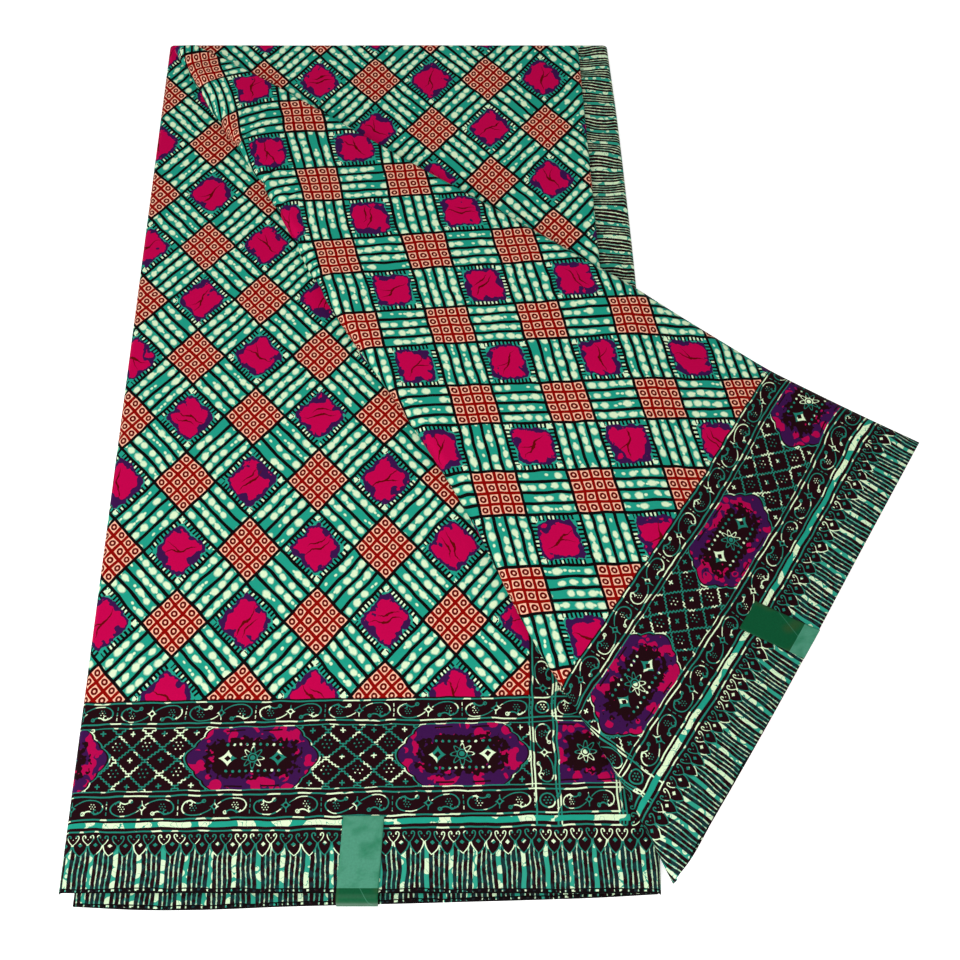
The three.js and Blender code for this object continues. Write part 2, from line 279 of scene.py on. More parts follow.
def rounded_run(share, rounding=0.2):
    """A straight run from 0 to 1 with a rounded start and end."""
    at = np.clip(share, 0, 1)
    bend = 2 * rounding * (1 - rounding)
    middle = (at - rounding / 2) / (1 - rounding)
    run_out = np.where(at > 1 - rounding, 1 - (1 - at) ** 2 / bend, middle)
    return np.where(at < rounding, at**2 / bend, run_out)


def bow_at(table, at):
    """A smooth curve through a table's rows of millimetres, as metres."""
    stations, values = (np.array(row, float) for row in table.values())
    slopes = np.gradient(values, stations)
    at = np.clip(at, stations[0], stations[-1])
    row = np.clip(np.searchsorted(stations, at, side="right") - 1, 0, len(stations) - 2)
    step = stations[row + 1] - stations[row]
    share = (at - stations[row]) / step
    rest = 1 - share
    start = (1 + 2 * share) * rest**2 * values[row] + share * rest**2 * step * slopes[row]
    end = share**2 * (3 - 2 * share) * values[row + 1] - share**2 * rest * step * slopes[row + 1]
    return (start + end) * MM


def along_line(start, end, share, sideways):
    run = end - start
    side = np.array((-run[1], run[0])) / np.hypot(*run)
    return start + share[..., None] * run + sideways[..., None] * side


def spots(columns, rows):
    """Shares from 0 to 1 across and along a grid."""
    return np.meshgrid(np.linspace(0, 1, columns + 1), np.linspace(0, 1, rows + 1))


def ripple(x, y):
    """Slow unevenness of cloth that lies on cloth, from -1 to 1."""
    waves = np.sin(31 * x + 9 * y + 0.4) + 0.7 * np.sin(-17 * x + 43 * y + 2.1)
    return (waves + 0.5 * np.sin(71 * x - 37 * y + 4.0) + 0.4 * np.sin(93 * x + 88 * y + 1.2)) / 2.6


# ---- Meshes ----


def new_object(name, data):
    thing = bpy.data.objects.new(name, data)
    bpy.context.scene.collection.objects.link(thing)
    return thing


def new_piece(name, points, faces, cloth):
    """A mesh object at the origin, with its place in its mesh and a map of cloth coordinates."""
    mesh = bpy.data.meshes.new(name)
    mesh.from_pydata((points + np.array(HEM_CORNER)).tolist(), [], faces.tolist())
    chart = mesh.uv_layers.new(name="cloth")
    corners = np.empty(len(mesh.loops), int)
    mesh.loops.foreach_get("vertex_index", corners)
    chart.data.foreach_set("uv", cloth[corners].astype(np.float32).ravel())
    mesh.polygons.foreach_set("use_smooth", [True] * len(mesh.polygons))
    mesh.update()
    return new_object(name, mesh)


def quads(corners):
    """The faces between the rows and columns of a grid of corner numbers."""
    near, far = corners[:-1], corners[1:]
    return np.stack((near[:, :-1], near[:, 1:], far[:, 1:], far[:, :-1]), -1).reshape(-1, 4)


def shell(name, points, cloth, thickness):
    """A closed sheet of cloth: a grid of points is its outer face, and its wall goes inwards."""
    corners = np.arange(points[..., 0].size).reshape(points.shape[:2])
    piece = new_piece(name, points.reshape(-1, 3), quads(corners), cloth.reshape(-1, 2))
    wall = piece.modifiers.new("wall", "SOLIDIFY")
    wall.thickness = thickness
    wall.offset = -1
    wall.use_even_offset = True
    bpy.ops.object.select_all(action="DESELECT")
    piece.select_set(True)
    bpy.context.view_layer.objects.active = piece
    bpy.ops.object.modifier_apply(modifier=wall.name)
    piece.select_set(False)
    return piece


def stack(name, plan, base, height, leaf, cloth, columns, rows):
    """A pile of folded leaves as one closed body, with a rounded edge for each leaf."""
    corners = np.arange((columns + 1) * (rows + 1)).reshape(rows + 1, -1)
    rim = np.concatenate((corners[0, :-1], corners[:-1, -1], corners[-1, :0:-1], corners[:0:-1, 0]))
    flat = plan(*spots(columns, rows)).reshape(-1, 2)
    outline = flat[rim]
    ahead, behind = np.roll(outline, -1, 0), np.roll(outline, 1, 0)
    run = ahead - behind
    outward = np.stack((run[:, 1], -run[:, 0]), 1) / np.hypot(*run.T)[:, None]
    around = np.concatenate(([0], np.cumsum(np.hypot(*(ahead - outline).T))[:-1]))
    leaves = max(2, round(height / leaf))
    rings, maps = [], []
    for number in range(leaves):
        stand = 0.45 * np.sin(2.4 * number + 0.7) + 0.3 * np.sin(around * 19 + number * 2.1)
        stand = (stand + 0.16 * np.sin(around * 67 + number * 4.3) - 0.75) * MM
        for up, bulge in LEAF_EDGE:
            place = outline + outward * (stand + bulge * leaf)[:, None]
            level = base(*place.T) + height * (number + up) / leaves
            rings.append(np.column_stack((place, level)))
            maps.append(cloth(*place.T) + (LEAF_PRINT_STEP * number, 0))
    bottom = np.column_stack((flat, base(*flat.T)))
    ring_corners = 2 * corners.size + np.arange(len(rings) * len(rim)).reshape(len(rings), -1)
    levels = np.vstack((rim, ring_corners, rim + corners.size))
    levels = np.column_stack((levels, levels[:, 0]))
    faces = np.vstack((quads(corners)[:, ::-1], quads(corners + corners.size), quads(levels)))
    points = np.vstack((bottom, bottom + (0, 0, height), *rings))
    lying = cloth(*flat.T)
    return new_piece(name, points, faces, np.vstack((lying, lying, *maps)))


# ---- Where the cloth lies ----


def upper_right_edge(y, sizes):
    return HEM_WIDTH - sizes.upper_inset * y / STRIP_LENGTH


def lower_edges(y, sizes):
    """The left and right edges of the lower strip."""
    return -sizes.top_lean * y / STRIP_LENGTH, HEM_WIDTH + bow_at(RIGHT_EDGE_BOW, y / MM)


def upper_edges(y, sizes):
    """The crease's inner side and the right edge of the upper strip."""
    return crease_x_at(y) + sizes.nose + 2 * MM, upper_right_edge(y, sizes)


def folds_at(folds, share, across, wider=1.0):
    """The height or depth of a row of folds, in millimetres, which fade away from the crease."""
    total = np.zeros_like(share)
    for along, width, reach, high in folds:
        near = np.exp(-(((share - along) / (width * wider)) ** 2))
        total += high * near * (1 - ease(across / (reach * MM)))
    return total


def relief_at(share, across):
    return (folds_at(SWELLS, share, across) - folds_at(TUCKS, share, across)) * MM


def crease_at(share):
    bow = bow_at(CREASE_BOW, share) + 1.2 * MM * folds_at(TUCKS, share, 0, 1.6)
    return along_line(CREASE_START, CREASE_END, share, bow)


def crease_x_at(y):
    share = np.clip((CREASE_START[1] - y) / (CREASE_START[1] - CREASE_END[1]), 0, 1)
    return crease_at(share)[..., 0]


def flap_lines(share):
    """Where the crease and the upper edge are at a share, and how far apart."""
    start = crease_at(share)
    run = along_line(EDGE_START, FLAP_TIP, share, bow_at(UPPER_EDGE_BOW, share)) - start
    return start, run, np.linalg.norm(run, axis=-1)


def flap_point(share, across):
    """A point of the flap: share runs to the selvedge, across goes in from the crease."""
    start, run, width = flap_lines(share)
    inside = across / width
    beyond = bow_at(SELVEDGE_BOW, inside) * share**6
    outward = np.array((SELVEDGE_RUN[1], -SELVEDGE_RUN[0]))
    return start + run * inside[..., None] + outward * beyond[..., None]


def flap_ground(x, y, sizes):
    """The level that the flap rests on: the upper pleats, then a slope down to the table."""
    past = x - upper_right_edge(y, sizes) - 10 * MM
    return FLAP_BASE * (1 - rounded_run(past / (92 * MM)))


# ---- Cloth coordinates of each leaf ----


def shifted(x, y, shifts):
    """The print's small shifts, along and across, where the cloth is stretched or gathered."""
    total = np.zeros((*np.shape(x), 2))
    for place_x, place_y, reach, along, across in shifts:
        far = ((x / MM - place_x) ** 2 + (y / MM - place_y) ** 2) / reach**2
        total += np.exp(-far)[..., None] * (along * MM, across * MM)
    return total


def lower_cloth(x, y):
    """The lower face shows the right cut end of the cloth, its selvedge at the hem."""
    behind_flap = 22 * MM * ease((y - 150 * MM) / (150 * MM)) * ease((x - 200 * MM) / (40 * MM))
    across_at_hem = 1.0013 * y + (1.7 * MM - 0.02 * x) * ease(y / (45 * MM))
    at_hem = np.stack((5.1285 + 0.998 * x + 0.029 * y, across_at_hem), -1)
    in_field = np.stack((5.127 + 0.9931 * x + 0.0339 * y, 2.46 * MM - 0.0179 * x + 0.9945 * y), -1)
    place = mix(at_hem, in_field, ease((y - 85 * MM) / (50 * MM))[..., None])
    return place + behind_flap[..., None] * (1, 0) + shifted(x, y, LOWER_SHIFTS)


def upper_cloth(x, y):
    """The upper face shows a stretch of the field near the middle of the cloth."""
    from_middle_x, from_middle_y = x - 200 * MM, y - 500 * MM
    along = 3.0699 + 0.9907 * from_middle_x + 0.0373 * from_middle_y
    return np.stack((along, 0.4914 - 0.0212 * from_middle_x + 0.9446 * from_middle_y), -1)


def flap_cloth(share, across):
    """The flap shows the left cut end: the crease crosses the cloth at a slant."""
    spot = flap_point(share, across)
    run = (spot - CREASE_END) @ SELVEDGE_RUN
    rise = (spot - CREASE_END) @ np.array((-SELVEDGE_RUN[1], SELVEDGE_RUN[0]))
    between_tucks = 1 - np.minimum(folds_at(TUCKS, share, 0, 2.5), 1)
    sag = 3 * MM * between_tucks * np.clip(1 - across / (16 * MM), 0, 2) ** 2
    sag = sag * (1 - ease((share - 0.3) / 0.15))
    drawn = 9 * MM * np.exp(-(((share - 0.1) / 0.08) ** 2)) * np.clip(1 - across / (50 * MM), 0, 1.3) ** 2
    place = np.stack((24.25 * MM + 0.99 * run - 0.138 * rise, 1.87 * MM + 0.026 * run + 1.005 * rise), -1)
    return place + shifted(spot[..., 0], spot[..., 1], FLAP_SHIFTS) + (sag + drawn)[..., None] * (0.41, 0.91)


def pile_cloth(x, y):
    """The flap's hidden leaves show a slanting stretch of the print at their edges."""
    return np.stack((0.6 * x + 0.9 * y, 0.8 * x - 0.5 * y), -1)


# ---- The two halves of the strip ----


def turned_down(run, radius):
    """A quarter turn: how far short of its end, and how far down, after a run."""
    angle = np.clip(run / radius, 0, QUARTER_TURN)
    return radius * (1 - np.sin(angle)), radius * (1 - np.cos(angle))


def rolled(share, total, radius, both):
    """A leaf that rolls down over its end, or both its ends: how far over and how far down."""
    quarter = radius * QUARTER_TURN
    whole = total + (1 + both) * (quarter - radius)
    run = share * whole
    short, down = turned_down(run - (whole - quarter), radius)
    over = np.where(run > whole - quarter, total - short, run - both * (quarter - radius))
    if both:
        short, fall = turned_down(quarter - run, radius)
        over = np.where(run < quarter, short, over)
        down = down + fall
    return over, down


def crowded(count, radius, total, both):
    """Shares along a leaf, closer together over its rolled ends."""
    edge = radius * QUARTER_TURN / total
    start = np.linspace(0, edge, BEND_POINTS)[:-1] if both else []
    middle = np.linspace(edge if both else 0, 1 - edge, count + 1)
    return np.concatenate((start, middle, np.linspace(1 - edge, 1, BEND_POINTS)[1:]))


def rolled_leaf(edges, sizes, counts, width, bottom, top, roll, both=False):
    """A leaf of the strip, rolled down at its top and at its right side or both its sides.

    Gives each point's place in plan and its fall, and its place on the leaf laid flat.
    """
    s, t = np.meshgrid(crowded(counts[0], roll, width, both), crowded(counts[1], roll, top, False))
    y, fall = rolled(t, top - bottom, roll, False)
    y = y + bottom
    left, right = edges(y, sizes)
    over, drop = rolled(s, 1, roll / width, both)
    x = left + (right - left) * over
    drop = drop * width
    past = np.where(s > 0.5, drop, -drop) * PRINT_TURN
    return x, y, np.minimum(drop + fall, roll), (x + past, y + fall * PRINT_TURN)


def plan_between(edges, sizes, bottom, top, inset):
    """The plan of a pile that stands in from a leaf's edges."""

    def plan(s, t):
        y = mix(bottom, top, t)
        left, right = edges(y, sizes)
        return np.stack((mix(left + inset, right - inset, s), y), -1)

    return plan


def level_base(level):
    return lambda x, y: np.full_like(x, level)


def lower_face(sizes):
    """The whole lower face of the strip, rolled down at its sides and at the centre fold."""
    shape = {"width": HEM_WIDTH, "bottom": 0, "top": STRIP_LENGTH, "roll": sizes.roll, "both": True}
    x, y, fall, on_cloth = rolled_leaf(lower_edges, sizes, (150, 230), **shape)
    left, right = lower_edges(y, sizes)
    calm = 25 * MM
    waves = ripple(x, y) * ease((x - left) / calm) * ease((right - x) / calm)
    waves = waves * ease((STRIP_LENGTH - y) / calm)
    z = LOWER_TOP + 0.35 * MM * np.minimum(waves - 1, 0) - fall
    return np.dstack((x, y, z)), lower_cloth(*on_cloth)


def lower_stack(sizes):
    inset = sizes.roll - 0.4 * MM
    plan = plan_between(lower_edges, sizes, inset, STRIP_LENGTH - inset, inset)
    height = LOWER_TOP - sizes.cloth - 0.9 * MM
    return stack("lower_leaves", plan, level_base(0), height, sizes.leaf, lower_cloth, 70, 130)


def hem_underleaf():
    """The lowest leaves stand out beyond the hem, with their own selvedge."""
    s, t = spots(160, 16)
    x = mix(UNDERLEAF_EDGE["along"][0], UNDERLEAF_EDGE["along"][-1], s) * MM
    beyond = bow_at(UNDERLEAF_EDGE, x / MM)
    y = mix(-beyond, 8 * MM, t)
    z = 1.6 * MM + 0.15 * MM * np.sin(x * 140) * (1 - t)
    return np.dstack((x, y, z)), lower_cloth(x + 3 * MM, y + beyond + 0.4 * MM)


def upper_face(sizes):
    """The upper face of the strip, rolled down at its right side and at the centre fold."""
    top = STRIP_LENGTH - sizes.upper_setback
    shape = {"width": UPPER_WIDTH, "bottom": UPPER_START, "top": top, "roll": 2.2 * MM}
    x, y, fall, on_cloth = rolled_leaf(upper_edges, sizes, (110, 190), **shape)
    z = UPPER_TOP + 0.3 * MM * np.minimum(ripple(x + 0.3, y) - 1, 0) - fall
    return np.dstack((x, y, z)), upper_cloth(*on_cloth)


def upper_stack(sizes):
    inset = 1.6 * MM
    top = STRIP_LENGTH - sizes.upper_setback - inset
    plan = plan_between(upper_edges, sizes, UPPER_START, top, inset)
    height = UPPER_TOP - UPPER_BASE - sizes.cloth - 0.7 * MM
    return stack("upper_leaves", plan, level_base(UPPER_BASE), height, sizes.leaf, upper_cloth, 50, 110)


# ---- The flap ----


def flap_face(sizes):
    """The turned back face: it rolls round the crease and runs out to the upper edge."""
    gathered = 0.42
    shares = np.linspace(FLAP_START, gathered, 231)[:-1], np.linspace(gathered, 1, 121)
    shares = np.concatenate(shares)
    share, turn = np.meshgrid(shares, np.linspace(-0.38 * math.pi, QUARTER_TURN, 17)[:-1])
    spot = flap_point(share, 0 * share)
    top = flap_ground(spot[..., 0], spot[..., 1], sizes) + sizes.flap_height + relief_at(share, 0)
    half = (top - UPPER_BASE) / 2
    spot = flap_point(share, sizes.nose * (1 - np.cos(turn)))
    nose = np.dstack((spot, UPPER_BASE + half * (1 + np.sin(turn))))
    nose_map = flap_cloth(share, sizes.nose - (half + sizes.nose) / 2 * (QUARTER_TURN - turn))

    share, inside = np.meshgrid(shares, np.linspace(0, 1, 88) ** 1.25)
    width = flap_lines(share)[2]
    across = mix(sizes.nose, width, inside)
    from_nose = across - sizes.nose
    spot = flap_point(share, across)
    x, y = spot[..., 0], spot[..., 1]
    edge = np.clip((across - width) / (2 * MM) + 1, 0, 1)
    z = flap_ground(x, y, sizes) + sizes.flap_height + relief_at(share, from_nose)
    z = z - 1.4 * MM * (1 - np.sqrt(1 - edge**2))
    z = z + 0.25 * MM * ripple(x + 0.7, y + 0.2) * ease(from_nose / (30 * MM))
    points = np.concatenate((nose, np.dstack((spot, z))))
    return points, np.concatenate((nose_map, flap_cloth(share, across)))


def flap_stack(sizes):
    def plan(s, t):
        share = mix(FLAP_START, 1 - 0.8 * MM / STRIP_LENGTH, s)
        return flap_point(share, mix(sizes.nose, flap_lines(share)[2] - 1.2 * MM, t))

    base = functools.partial(flap_ground, sizes=sizes)
    height = sizes.flap_height - sizes.cloth - 0.9 * MM
    return stack("flap_leaves", plan, base, height, sizes.leaf, pile_cloth, 120, 60)


# ---- The labels ----


def hem_label(sizes):
    """A band label round the hem: it lies on the face and turns down over the hem."""
    turn, reach = 4 * MM, 38 * MM
    top = LOWER_TOP + 0.45 * MM
    bend = turn * QUARTER_TURN
    total = reach + bend + top - turn
    s, t = spots(24, 120)
    x = HEM_LABEL_PLACE * MM + sizes.label_width * (s - 0.5) - 2 * MM * (1 - t)
    run = total * (1 - t)
    front = -(bow_at(UNDERLEAF_EDGE, HEM_LABEL_PLACE) + 0.8 * MM)
    short, fall = turned_down(run - reach, turn)
    y = front + np.where(run < reach, reach + turn - run, short)
    z = top - fall - np.maximum(0, run - reach - bend)
    return np.dstack((x, y, z)), np.dstack((s * sizes.label_width, (1 - t) * total))


def flap_label(sizes):
    """A band label on the flap: it starts at the selvedge and goes straight in."""
    reach, lean = 36 * MM, 5 * MM
    s, t = spots(24, 90)
    selvedge = FLAP_TIP - CREASE_END
    width = np.hypot(*selvedge)
    along, inward = selvedge / width, np.array((-selvedge[1], selvedge[0])) / width
    beyond = bow_at(SELVEDGE_BOW, FLAP_LABEL_SHARE)
    place = width * FLAP_LABEL_SHARE + sizes.label_width * (s - 0.5) - lean * t
    spot = CREASE_END + place[..., None] * along + (reach * t - beyond)[..., None] * inward
    z = flap_ground(spot[..., 0], spot[..., 1], sizes) + sizes.flap_height + 0.5 * MM
    return np.dstack((spot, z)), np.dstack((s * sizes.label_width, t * reach))


# ---- Shader arithmetic ----


def maths(operation, reflected=False):
    """A method that adds one Math node for a value and what is given with it."""

    def method(value, *others):
        return value.shade.math(operation, *((*others, value) if reflected else (value, *others)))

    return method


class Value:
    """A number that varies over a surface: arithmetic on it adds Math nodes."""

    def __init__(self, shade, socket):
        self.shade = shade
        self.socket = socket

    __add__ = __radd__ = maths("ADD")
    __sub__, __rsub__ = maths("SUBTRACT"), maths("SUBTRACT", reflected=True)
    __mul__ = __rmul__ = maths("MULTIPLY")
    __truediv__, __rtruediv__ = maths("DIVIDE"), maths("DIVIDE", reflected=True)
    __pow__ = maths("POWER")
    __abs__ = maths("ABSOLUTE")
    __lt__, __gt__ = maths("LESS_THAN"), maths("GREATER_THAN")
    __and__, __or__ = maths("MINIMUM"), maths("MAXIMUM")
    floor, fract = maths("FLOOR"), maths("FRACT")
    sine, cosine, root = maths("SINE"), maths("COSINE"), maths("SQRT")

    def __neg__(self):
        return self * -1

    def clipped(self):
        return (self | 0.0) & 1.0

    def about(self, pitch, centre=0.0):
        """The distance from the nearest of a row of places that lie a pitch apart."""
        return ((self - centre) / pitch + 0.5).fract() * pitch - pitch / 2

    def within(self, low, high):
        return (self > low) & (self < high)


class Shade:
    """One material and the nodes in it."""

    def __init__(self, name):
        self.material = bpy.data.materials.new(name)
        self.material.use_nodes = True
        self.tree = self.material.node_tree
        self.tree.nodes.clear()

    def add(self, kind, settings, sockets):
        """Adds a node: its settings first, then the values or links of its sockets."""
        node = self.tree.nodes.new(kind)
        for name, setting in settings.items():
            setattr(node, name, setting)
        for key, given in sockets.items():
            given = given.socket if isinstance(given, Value) else given
            if isinstance(given, bpy.types.NodeSocket):
                self.tree.links.new(given, node.inputs[key])
            else:
                node.inputs[key].default_value = given
        return node

    def math(self, operation, *given):
        node = self.add("ShaderNodeMath", {"operation": operation}, dict(enumerate(given)))
        return Value(self, node.outputs[0])

    def pair(self, x, y, z=0.0):
        return self.add("ShaderNodeCombineXYZ", {}, {0: x, 1: y, 2: z}).outputs[0]

    def parts(self, vector):
        node = self.add("ShaderNodeSeparateXYZ", {}, {0: vector})
        return [Value(self, output) for output in node.outputs]

    def cloth(self):
        """The two cloth coordinates, in metres."""
        return self.parts(self.add("ShaderNodeUVMap", {"uv_map": "cloth"}, {}).outputs[0])[:2]

    def noise(self, place, scale, detail=1.0):
        settings = {"noise_dimensions": "2D"}
        return self.add("ShaderNodeTexNoise", settings, {"Vector": place, "Scale": scale, "Detail": detail})

    def cloud(self, place, scale, detail=1.0):
        return Value(self, self.noise(place, scale, detail).outputs[0])

    def grains(self, place, randomness):
        """Scattered grains, one to a unit square: the distance to the nearest, and its size."""
        sockets = {"Vector": place, "Scale": 1.0, "Randomness": randomness}
        node = self.add("ShaderNodeTexVoronoi", {"voronoi_dimensions": "2D"}, sockets)
        return Value(self, node.outputs["Distance"]), self.parts(node.outputs["Color"])[0]

    def lots(self, x, y):
        """Three random numbers for each pair of whole numbers."""
        settings = {"noise_dimensions": "2D"}
        node = self.add("ShaderNodeTexWhiteNoise", settings, {"Vector": self.pair(x, y)})
        return self.parts(node.outputs["Color"])

    def choose(self, mask, inside, outside):
        """Colours: the first where the mask is 1, the second where it is 0."""
        node = self.add("ShaderNodeMix", {"data_type": "RGBA"}, {0: mask, 6: outside, 7: inside})
        return node.outputs[2]

    def shaded(self, colour, brightness):
        node = self.add("ShaderNodeHueSaturation", {}, {"Value": brightness, "Color": colour})
        return node.outputs[0]

    def finish(self, colour, roughness, height, gloss):
        bump = self.add("ShaderNodeBump", {}, {"Strength": 0.35, "Distance": 0.0002, "Height": height})
        sockets = {"Base Color": colour, "Roughness": roughness, "Normal": bump.outputs[0]}
        sockets["Specular IOR Level"] = gloss
        surface = self.add("ShaderNodeBsdfPrincipled", {}, sockets)
        self.add("ShaderNodeOutputMaterial", {}, {"Surface": surface.outputs[0]})
        return self.material


def pick(mask, inside, outside):
    """Numbers: the first where the mask is 1, the second where it is 0."""
    return outside + (inside - outside) * mask


# ---- The wax print ----


class WaxPrint(Shade):
    """The printed cotton: a check of stripes, ring squares and blots inside wide borders."""

    def __init__(self, name, sizes, inks):
        super().__init__(name)
        self.sizes = sizes
        self.inks = inks
        along, across = self.cloth()
        weave, wander = 9000.0, 1.7 * MM
        self.threads = (along * weave).sine() * (across * weave).sine()
        self.flat = self.pair(along, across)
        drift = self.parts(self.noise(self.flat, 70.0).outputs[1])
        self.along = along + (drift[0] - 0.5) * wander
        self.across = across + (drift[1] - 0.5) * wander
        self.place = self.pair(self.along, self.across)
        self.grit = self.patches(600.0)
        self.pale = self.patches(130.0, 0.0) > 0.57
        self.whole = abs(self.patches(210.0) - 0.5) > 0.011
        far, size = self.grains(self.scaled(190.0), 0.9)
        self.blotch = (far < size * 0.66 + 0.1) & self.whole

    def patches(self, scale, detail=1.0):
        return self.cloud(self.place, scale, detail)

    def scaled(self, amount):
        sockets = {0: self.place, "Scale": amount}
        return self.add("ShaderNodeVectorMath", {"operation": "SCALE"}, sockets).outputs[0]

    def draw(self, mask, colour):
        """Lines of the border on a colour, in cream or in sea."""
        return self.choose(mask, self.choose(self.pale, self.inks.cream, self.inks.sea), colour)

    # -- the field --

    def field(self):
        u = self.along / self.sizes.repeat_along - 0.86
        v = self.across / self.sizes.repeat_across - 2.167
        a, b = u + v, u - v
        near_a, near_b = a.about(1.0), b.about(1.0)
        half = 0.235
        in_a, in_b = abs(near_a) < half, abs(near_b) < half
        stripes = self.stripes(a, b, near_a, near_b, in_a)
        colour = self.choose(in_a & in_b, self.ring_squares(near_a, near_b), stripes)
        colour = self.choose((1 - in_a) & (1 - in_b), self.blots(a, b), colour)
        rim = self.lines(abs(near_a), 0.0145, half) | self.lines(abs(near_b), 0.0145, half)
        return self.choose(rim, self.inks.black, colour)

    def stripes(self, a, b, near_a, near_b, in_a):
        """Four stripes between two ring squares, with a row of bare blobs along each."""
        place = pick(in_a, near_a, near_b) / 0.1175
        run = pick(in_a, b, a)
        number = place.floor()
        aside = place - number - 0.5
        row = number + (pick(in_a, a, b) + 0.5).floor() * 17 + in_a * 500
        blob = self.blob_row(run / 0.112 + row * 0.37, row, aside, 1.0, 0.15)
        dot = self.blob_row(run / 0.047 + row * 0.71, row + 77, aside, 2.4, 0.6)
        colour = self.choose(blob | dot, self.inks.cream, self.inks.teal)
        return self.choose(abs(aside) > 0.357, self.inks.black, colour)

    def blob_row(self, run, row, aside, narrow, rare):
        """One blob to each unit of run, of its own size, and none where its lot is rare."""
        cell = run.floor()
        first, second, third = self.lots(cell, row)
        x = (run - cell - 0.5 - (first - 0.5) * 0.3) / (0.29 + second * 0.15)
        y = (aside * narrow - (third - 0.5) * 0.16 * narrow) / (0.23 + first * 0.09)
        far = x * x + y * y + (self.grit - 0.5) * 0.6
        return ((1.36 - far) / 0.85).clipped() & (second > rare)

    def ring_squares(self, near_a, near_b):
        """Sixteen small squares, each with a ring."""
        cell = 0.117
        x, y = (near.about(cell, cell / 2) / cell for near in (near_a, near_b))
        square = (abs(x) | abs(y)) < 0.364
        colour = self.choose(square, self.inks.peach, self.inks.dark_red)
        return self.choose((x * x + y * y).within(0.011, 0.083), self.inks.ring_red, colour)

    def blots(self, a, b):
        """A ragged blot with a dark rim and veins, inside a comb of short ticks."""
        inks = self.inks
        x, y = a.fract() - 0.5, b.fract() - 0.5
        diagonal = self.pair(a, b)
        ragged = self.cloud(diagonal, 15.0, 2.0) - 0.5
        uneven = self.cloud(diagonal, 5.0) - 0.5
        deep = abs(x) | abs(y)
        blot = (abs(x) ** 5 + abs(y) ** 5) ** 0.2 + ragged * 0.07 + uneven * 0.06
        rim = (self.cloud(diagonal, 7.3) - 0.41) * 0.25
        heart = blot + (rim | 0.02) + (self.grit - 0.5) * 0.022
        side = pick(abs(x) > abs(y), y, x) / 0.042
        number = side.floor()
        gap = side - number
        tick = (gap < 0.52) & (deep > 0.203) & ((abs(x) & abs(y)) < 0.2)
        lot = self.lots(number + (x > y) * 31, a.floor() + b.floor() * 7)[0]
        bead = (abs(gap - 0.76) < 0.22) & (deep > 0.216) & (lot > 0.68)
        corner = self.dot(abs(x) - 0.213, abs(y) - 0.213, 0.03)
        corner = corner & (self.lots((a * 2).floor(), (b * 2).floor())[0] > 0.45)
        colour = self.choose(bead | corner, inks.cream, inks.teal)
        colour = self.choose(tick, inks.black, colour)
        colour = self.choose(blot < 0.207, inks.purple, colour)
        colour = self.choose(heart < 0.2, inks.magenta, colour)
        return self.choose(self.veins(a, b, x, y, ragged), inks.ring_red, colour)

    def veins(self, a, b, x, y, ragged):
        """One long wavy line over a blot, with a branch or a shorter line beside it."""
        first, second, third = self.lots(a.floor(), b.floor())
        cosine, sine = (first * 6.3).cosine(), (first * 6.3).sine()
        along, aside = x * cosine + y * sine, y * cosine - x * sine
        aside = aside + (along * 27 + second * 6).sine() * 0.014 + ragged * 0.04
        main = abs(aside) < 0.0125 - abs(along) * 0.068
        branch = (abs(aside - along * 0.9) < 0.011 - abs(along) * 0.09) & (along > 0) & (third > 0.4)
        beside = (abs(aside - 0.06) < 0.01 - abs(along + 0.03) * 0.08) & (third < 0.4)
        return main | branch | beside

    # -- motifs of the borders; x runs along a strip and y across it, in millimetres --

    def lines(self, deep, half, *places):
        """Straight lines at places across a strip."""
        found = (abs(deep - place) < half for place in places)
        return functools.reduce(Value.__or__, found)

    def dot(self, x, y, radius):
        return (x * x + y * y) < radius * radius

    def polar(self, x, y):
        return (x * x + y * y).root(), self.math("ARCTAN2", y, x)

    def rosette(self, x, y, spread, radius):
        """Seven dots: one in the middle and six round it."""
        far, turn = self.polar(x, y)
        turn = turn.about(math.pi / 3)
        around = self.dot(far * turn.cosine() - spread, far * turn.sine(), radius)
        return around | (far < radius)

    def ring(self, x, y, radius_x, radius_y, thick):
        far = ((x / radius_x) ** 2 + (y / radius_y) ** 2).root()
        return abs(far - 1) < thick / (radius_x + radius_y)

    def scrolls(self, x, y):
        """A star with a scroll to each side, the right one turned half round."""
        side = 1 - (x > 0) * 2
        x, y = abs(x), y * side
        star = ((x**0.75 + abs(y) ** 0.75) < 2.0) & (self.dot(x, y, 0.9) < 1)
        rays = (x < 0.25) & (abs(y) < 3.6) & (abs(y) > 0.9)
        round_end = (x > 12.6) | ((y < -0.4) & (x > 9.2)) | ((x > 11) & (y > 0))
        loop = self.ring(x - 10.2, y + 0.35, 5.2, 3.95, 0.6) & round_end
        stem = (abs(y + 4.3 - (9.2 - x) ** 2 * 0.053) < 0.3) & x.within(1.6, 9.3)
        back = (abs(y - 1.85 - (x - 8.2) ** 2 * 0.19) < 0.34) & x.within(5.4, 11)
        back = back | (self.ring(x - 11.9, y - 2.0, 1.15, 1.05, 0.5) & ((x < 12) | (y > 2)))
        bud = self.ring(x - 5.6, y - 3.0, 0.8, 0.8, 0.5)
        seeds = self.rosette(x - 10.1, y + 0.75, 1.4, 0.3)
        dash = (abs(x - 17.43) < 0.24) & (abs(y) < 4.4) & ((y / 2.9 + 0.31).fract() < 0.62)
        return star | rays | loop | stem | back | bud | seeds | dash

    def ring_block(self, x, y):
        return self.ring(x, y, 3.5, 3.5, 0.75) | self.rosette(x, y, 1.65, 0.42)

    def stair(self, x, y, steps):
        """Stepped lines at a slant, that many steps apart."""
        rise = (y - x.floor()).about(steps)
        tread = (x - y.floor() - 1).about(steps)
        return (abs(rise) < 0.22) | (abs(tread) < 0.22)

